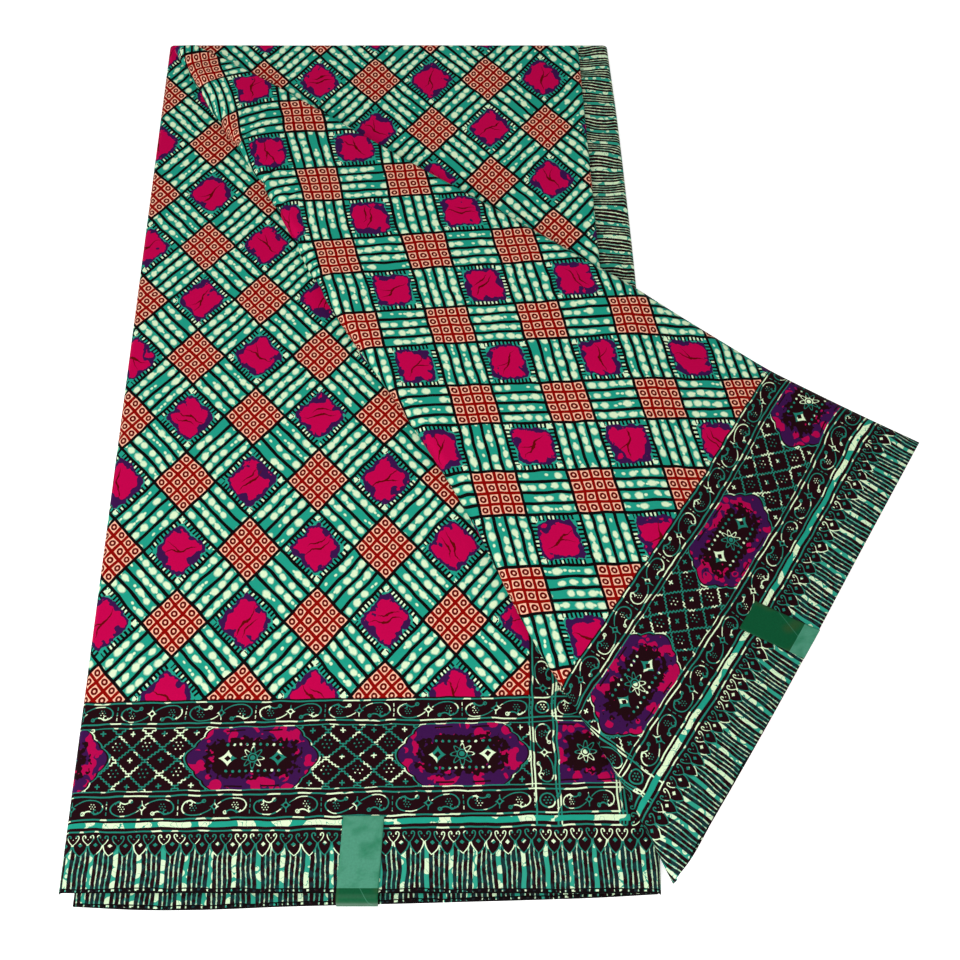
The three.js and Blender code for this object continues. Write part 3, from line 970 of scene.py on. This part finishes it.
    def trellis(self, x, y):
        """Stepped diamond lines with a rosette or a small cross in each diamond."""
        wide, high = 15.66, 14.0
        right, up = x / (wide / 10), y / (high / 10)
        line = self.stair(right, up, 10) | self.stair(-right, up, 10)
        dots = self.rosette(x.about(wide), abs(y) - high / 2, 2.2, 0.38)
        cross_x, cross_y = abs(x.about(wide, wide / 2)), abs(y.about(high))
        cross = ((cross_x & cross_y) < 0.34) & ((cross_x | cross_y) < 1.35)
        return line | dots | cross

    def medallion(self, x, y, corner, colour):
        """A lobed cartouche with a clouded ground and a jagged dark middle.

        Where the two borders cross, it fills its corner and has no outline of its own.
        """
        inks = self.inks
        high = abs(y)
        past = (high - 6.5) | 0.0
        scallop = abs((past * 0.616).sine()) * 1.1
        reach = 29 + ((1 - (high / 6.5) ** 2) | 0.0) * 4.5 - past * 0.83 + scallop
        inside = abs(x) - reach - corner * 40
        far, size = self.grains(self.scaled(145.0), 1.0)
        cloud = self.patches(120.0)
        warm = ((far < size * 0.42) | (cloud > 0.61)) & (cloud > 0.4)
        ground = self.choose(warm * 0.8, inks.magenta, inks.purple)
        dash = (abs(high - 14.7) < 0.42) & (abs(abs(x) - 9.2) < 4.6)
        jag = (self.patches(330.0) - 0.5) * 3.2
        heart = (abs(x) * (1 + corner * 1.1) / 22) ** 4 + (high / 10.6) ** 4 + jag
        ground = self.choose((heart < 1) | dash, inks.aubergine, ground)
        colour = self.choose(inside < 0, inks.aubergine, colour)
        colour = self.choose(inside < -1.3, ground, colour)
        return self.draw(self.flowers(x, y, corner) | (abs(inside) < 0.36), colour)

    def flowers(self, x, y, corner):
        """An eight-petalled flower between two small stars and rows of dots."""
        far, turn = self.polar(x, y)
        petal = 4.3 + (turn * 8).cosine() * 1.4
        flower = (abs(far - petal) < 0.42) | (far < 1.3) | (abs(far - 2.3) < 0.3)
        aside = abs(abs(x) - 12.5)
        star = ((aside**0.75 + abs(y) ** 0.75) < 3.1) & ((aside + abs(y)) > 1.7)
        dots = ((x.about(3.3) ** 2 + (abs(y) - 7.0) ** 2) < 0.5) & (abs(x) < 15)
        return flower | ((star | dots) & (1 - corner))

    def fringe(self, x, deep, at_hem):
        """A row of drops with curled necks, and bars that run from them to the edge.

        The bars along the cut end are bolder, wavier and brighter than those at the hem.
        """
        inks = self.inks
        side = abs(x.about(7.38))
        y = 5.0 - deep
        drop = (1 - (y / 5.6) ** 2) * 3.4
        outline = (abs(side - drop) < 0.34) & y.within(-5.8, 0.1)
        horn = (abs(side - 0.95 - (4.15 - y) ** 2 * 0.157) < 0.27) & y.within(0, 4.15)
        hook = self.ring(side - 1.75, y - 4.15, 0.8, 0.8, 0.5) & (y > 4.0)
        bud = self.dot(side - 2.45, y - 3.95, 0.4)
        gem = (side + abs(y) * 1.1) < 1.15
        speck = self.dot(side - 3.69, y - 2.8, 0.25)
        below = (side > drop) & (y < 0)
        bold = 1 - at_hem
        wide, thin = self.bars(x, bold)
        bare = pick(wide, self.blotch * 0.9 + 0.02, self.blotch * 0.6 + 0.1 + bold * 0.28)
        light = self.choose(bare, inks.cream, inks.teal)
        murk = ((self.patches(280.0) - 0.42) * 4).clipped()
        dark = self.choose(below & murk & at_hem, inks.indigo, inks.aubergine)
        colour = self.choose(below & (wide | thin), light, dark)
        return self.draw(outline | horn | hook | bud | gem | speck, colour)

    def bars(self, x, bold):
        """The light parts between the dark bars: the wide ones, and three thin ones between two."""
        pitch = 11.5
        sway = (self.patches(45.0, 0.0) - 0.5) * (bold * 5 + 1.5)
        at = abs((x + sway).about(pitch, 2.4))
        thin = self.grit * 0.5 + 0.06
        return at < bold * 0.25 + 1.1, (abs(at - 3.33) < thin) | (at > (pitch / 2 - thin))

    # -- the whole print --

    def colour(self):
        """The field inside its borders: rows along the selvedge and columns along a cut end."""
        sizes, inks = self.sizes, self.inks
        along, across = self.along / MM, self.across / MM
        half = sizes.field / MM / 2
        from_middle = along - sizes.end_border / MM - half
        past_end = abs(from_middle) - half
        turn = 1 - (from_middle < 0) * 2
        deep = sizes.border / MM - across
        pitch = sizes.medallion_pitch / MM
        band_middle, end_band_middle, column_middle = 31.75, 27.45, 6.9
        in_hem = deep > 0
        in_row = deep.within(2.3, 12.0) | deep.within(51.4, 62.2)
        in_band = deep.within(15.0, 48.4)
        in_column = past_end.within(2.5, 11.3)
        in_end_band = past_end.within(14.2, 41.3)
        framed = past_end < 41.3

        colour = self.choose(in_hem | (past_end > 0), inks.aubergine, self.field())
        end_x = past_end - end_band_middle
        row_x = pick(in_end_band, end_x / 0.82, (past_end + 16.6).about(pitch / 3)) * turn
        row_y = pick(deep < 30, 7.1, 56.8) - deep
        column_x = pick(in_hem, deep - band_middle, (deep + 3.8).about(pitch / 3))
        column_y = (past_end - column_middle) * turn
        scrolls = self.scrolls(pick(in_column, column_x, row_x), pick(in_column, column_y, row_y))
        motif = pick(in_row & in_column, self.ring_block(past_end - column_middle, row_y), scrolls)
        strip = (in_row & framed) | (in_column & (in_band | (deep < 0)))
        colour = self.draw(strip & motif, colour)

        hem_x, end_y = past_end + 34, across - 66.6
        medal_x = pick(in_hem, pick(in_end_band, end_x, hem_x.about(pitch)) * turn, end_y.about(pitch))
        medal_y = pick(in_hem, band_middle - deep, end_x * turn * 1.2)
        gap_x = (pick(in_hem, hem_x, end_y) + pitch / 2).about(pitch)
        band = self.draw(self.trellis(gap_x, medal_y), inks.aubergine)
        band = self.medallion(medal_x, medal_y, in_hem & in_end_band, band)
        in_bands = (in_band & (1 - in_column) & framed) | (in_end_band & (deep < 0))
        colour = self.choose(in_bands & (past_end.within(0, 14) < 1), band, colour)

        rows = self.lines(deep, 0.4, 1.3, 12.6, 50.8, 62.8, 69.1) | self.lines(deep, 0.28, 15.0, 48.4)
        columns = self.lines(past_end, 0.42, 1.6, 12.0, 13.6, 41.7, 43.3, 45.0) & (deep < 69)
        columns = columns | ((abs(past_end) < 0.3) & deep.within(0, 50))
        colour = self.draw((rows & (past_end < 45)) | columns, colour)
        bare = (self.patches(95.0) > 0.51) & self.whole
        patch = self.choose(bare, inks.cream, inks.teal)
        colour = self.choose(abs(deep - 65.7) < 1.35, patch, colour)
        at_hem = deep > 70.2
        from_field = pick(at_hem, deep - 71.0, past_end - 47.0)
        fringe = self.fringe(pick(at_hem, along, across), from_field, at_hem)
        colour = self.choose(at_hem | (past_end > 46.4), fringe, colour)
        edge = (across < 2.3) & (1 - (across.within(0.7, 1.7) & ((along / 3.7).fract() < self.grit * 0.9)))
        return self.choose(edge, inks.black, colour)

    def cotton(self):
        """The print on its cotton: a fine plain weave and a soft crumple."""
        crumple = self.cloud(self.flat, 260.0, 3.0)
        dye = self.cloud(self.flat, 1100.0, 2.0)
        colour = self.shaded(self.colour(), dye * 0.16 + 0.92)
        return self.finish(colour, 0.6 + dye * 0.14, self.threads * 0.2 + crumple, 0.04)


def label_band(name, inks, overlap):
    """Thin glossy green film: its inner end is deeper, past the line where it overlaps."""
    shade = Shade(name)
    aside, run = shade.cloth()
    place = shade.pair(aside, run)
    cloud = shade.cloud(place, 110.0, 3.0)
    grain = shade.cloud(place, 900.0, 2.0)
    past = run / MM - overlap
    light = shade.choose((cloud - 0.42) * 3, inks.label_cloud, inks.label)
    olive = shade.cloud(shade.pair(aside, run, 4.0), 60.0)
    dark = shade.choose((olive - 0.5) * 2.2, inks.label_olive, inks.label_deep)
    fold = abs(aside / MM - 11 - past * 0.6) < 0.2
    dark = shade.choose(fold * 0.4, inks.label, dark)
    colour = shade.shaded(shade.choose(past > 0, dark, light), grain * 0.3 + 0.85)
    return shade.finish(colour, 0.36 + cloud * 0.15, cloud + (past > 0) * 0.3, 0.15)


# ---- Operators ----


def dress(piece, material, node):
    piece.data.materials.append(material)
    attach(piece, "root")
    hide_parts(node)
    return piece


def printed():
    found = bpy.data.materials.get("wax_print")
    scene = bpy.context.scene
    return found or WaxPrint("wax_print", scene.wax_print_sizes, scene.wax_print_colours).cotton()


class CLOTH_OT_lower_strip(bpy.types.Operator):
    """Make the lower half of the strip: its face, its leaves and the leaves under the hem"""

    bl_idname = "cloth.lower_strip"
    bl_label = "Lower strip"

    def execute(self, context):
        sizes = context.scene.fold_sizes
        leaves = dress(lower_stack(sizes), printed(), "lower_pile")
        face = shell("lower_face", *lower_face(sizes), sizes.cloth)
        dress(face, printed(), "lower_leaf")
        under = shell("hem_leaves", *hem_underleaf(), 1.4 * MM)
        dress(under, printed(), "hem_underleaf")
        return {"FINISHED"}


class CLOTH_OT_upper_strip(bpy.types.Operator):
    """Make the upper half of the strip that the flap leaves bare"""

    bl_idname = "cloth.upper_strip"
    bl_label = "Upper strip"

    def execute(self, context):
        sizes = context.scene.fold_sizes
        leaves = dress(upper_stack(sizes), printed(), "upper_pile")
        face = shell("upper_face", *upper_face(sizes), sizes.cloth)
        dress(face, printed(), "upper_leaf")
        return {"FINISHED"}


class CLOTH_OT_flap(bpy.types.Operator):
    """Make the flap that is turned back over the diagonal crease"""

    bl_idname = "cloth.flap"
    bl_label = "Flap"

    def execute(self, context):
        sizes = context.scene.fold_sizes
        leaves = dress(flap_stack(sizes), printed(), "flap_pile")
        face = shell("flap_face", *flap_face(sizes), sizes.cloth)
        dress(face, printed(), "flap_leaf")
        return {"FINISHED"}


class CLOTH_OT_labels(bpy.types.Operator):
    """Make the two band labels"""

    bl_idname = "cloth.labels"
    bl_label = "Labels"

    def execute(self, context):
        sizes, inks = context.scene.fold_sizes, context.scene.wax_print_colours
        at_hem, on_flap = label_band("hem_film", inks, 35.7), label_band("flap_film", inks, 8.3)
        hem = dress(shell("hem_band", *hem_label(sizes), 0.2 * MM), at_hem, "hem_label")
        flap = dress(shell("flap_band", *flap_label(sizes), 0.2 * MM), on_flap, "flap_label")
        return {"FINISHED"}


class CLOTH_OT_stage(bpy.types.Operator):
    """Make the pale floor, the soft light and the camera"""

    bl_idname = "cloth.stage"
    bl_label = "Stage"

    def execute(self, context):
        studio = context.scene.cloth_studio
        add_floor()
        add_light("key_light", (-0.45, -0.7, 0.85), 1.2, 13.4 * studio.light)
        add_light("fill_light", (0.8, -0.45, 1.4), 1.4, 4.3 * studio.light)
        add_world(0.26 * studio.light)
        add_camera(studio)
        return {"FINISHED"}


def add_floor():
    bpy.ops.object.select_all(action="DESELECT")
    bpy.ops.mesh.primitive_plane_add(size=12)
    floor = bpy.context.object
    floor.name = "floor"
    shade = Shade("pale_floor")
    place = shade.add("ShaderNodeTexCoord", {}, {}).outputs["Object"]
    cloud = shade.cloud(place, 3.0)
    colour = shade.choose(cloud, (0.97, 0.97, 0.97, 1), (0.95, 0.95, 0.95, 1))
    material = shade.finish(colour, 0.8, cloud, 0.0)
    surface = material.node_tree.nodes["Principled BSDF"]
    surface.inputs["Emission Color"].default_value = (1, 1, 1, 1)
    surface.inputs["Emission Strength"].default_value = 0.6
    floor.data.materials.append(material)


def add_light(name, place, size, power):
    data = bpy.data.lights.new(name, "AREA")
    data.shape = "SQUARE"
    data.size = size
    data.energy = power
    light = new_object(name, data)
    light.location = place
    light.rotation_euler = (-Vector(place)).to_track_quat("-Z", "Y").to_euler()


def add_world(strength):
    world = bpy.data.worlds.new("studio")
    world.use_nodes = True
    sky = world.node_tree.nodes["Background"]
    sky.inputs["Color"].default_value = (1, 1, 1, 1)
    sky.inputs["Strength"].default_value = strength
    bpy.context.scene.world = world


def add_camera(studio):
    data = bpy.data.cameras.new("camera")
    data.sensor_width = 36
    data.lens = studio.lens
    camera = new_object("camera", data)
    camera.location = HEM_CORNER + Vector(studio.camera)
    camera.rotation_euler = (QUARTER_TURN - studio.pitch, 0, 0)
    bpy.context.scene.camera = camera
    bpy.context.scene.view_settings.view_transform = "Standard"


class CLOTH_PT_panel(bpy.types.Panel):
    """Lists the pieces of the folded cloth"""

    bl_label = "Folded cloth"
    bl_idname = "CLOTH_PT_panel"
    bl_space_type = "VIEW_3D"
    bl_region_type = "UI"
    bl_category = "Cloth"

    def draw(self, context):
        for operator in OPERATORS:
            self.layout.operator(operator.bl_idname)
        for name in GROUPS:
            group = getattr(context.scene, name)
            for key in group.__annotations__:
                self.layout.prop(group, key)


GROUPS = {
    "fold_sizes": FoldSizes,
    "wax_print_sizes": PrintSizes,
    "wax_print_colours": PrintColours,
    "cloth_studio": Studio,
}
OPERATORS = (CLOTH_OT_lower_strip, CLOTH_OT_upper_strip, CLOTH_OT_flap, CLOTH_OT_labels, CLOTH_OT_stage)


def register():
    for part in (*GROUPS.values(), *OPERATORS, CLOTH_PT_panel):
        bpy.utils.register_class(part)
    for name, group in GROUPS.items():
        setattr(bpy.types.Scene, name, PointerProperty(type=group))


def unregister():
    for name in GROUPS:
        delattr(bpy.types.Scene, name)
    for part in (CLOTH_PT_panel, *OPERATORS, *GROUPS.values()):
        bpy.utils.unregister_class(part)


def main():
    register()
    bpy.ops.cloth.lower_strip()
    bpy.ops.cloth.upper_strip()
    bpy.ops.cloth.flap()
    bpy.ops.cloth.labels()
    bpy.ops.cloth.stage()
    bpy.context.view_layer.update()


if __name__ == "__main__":
    main()
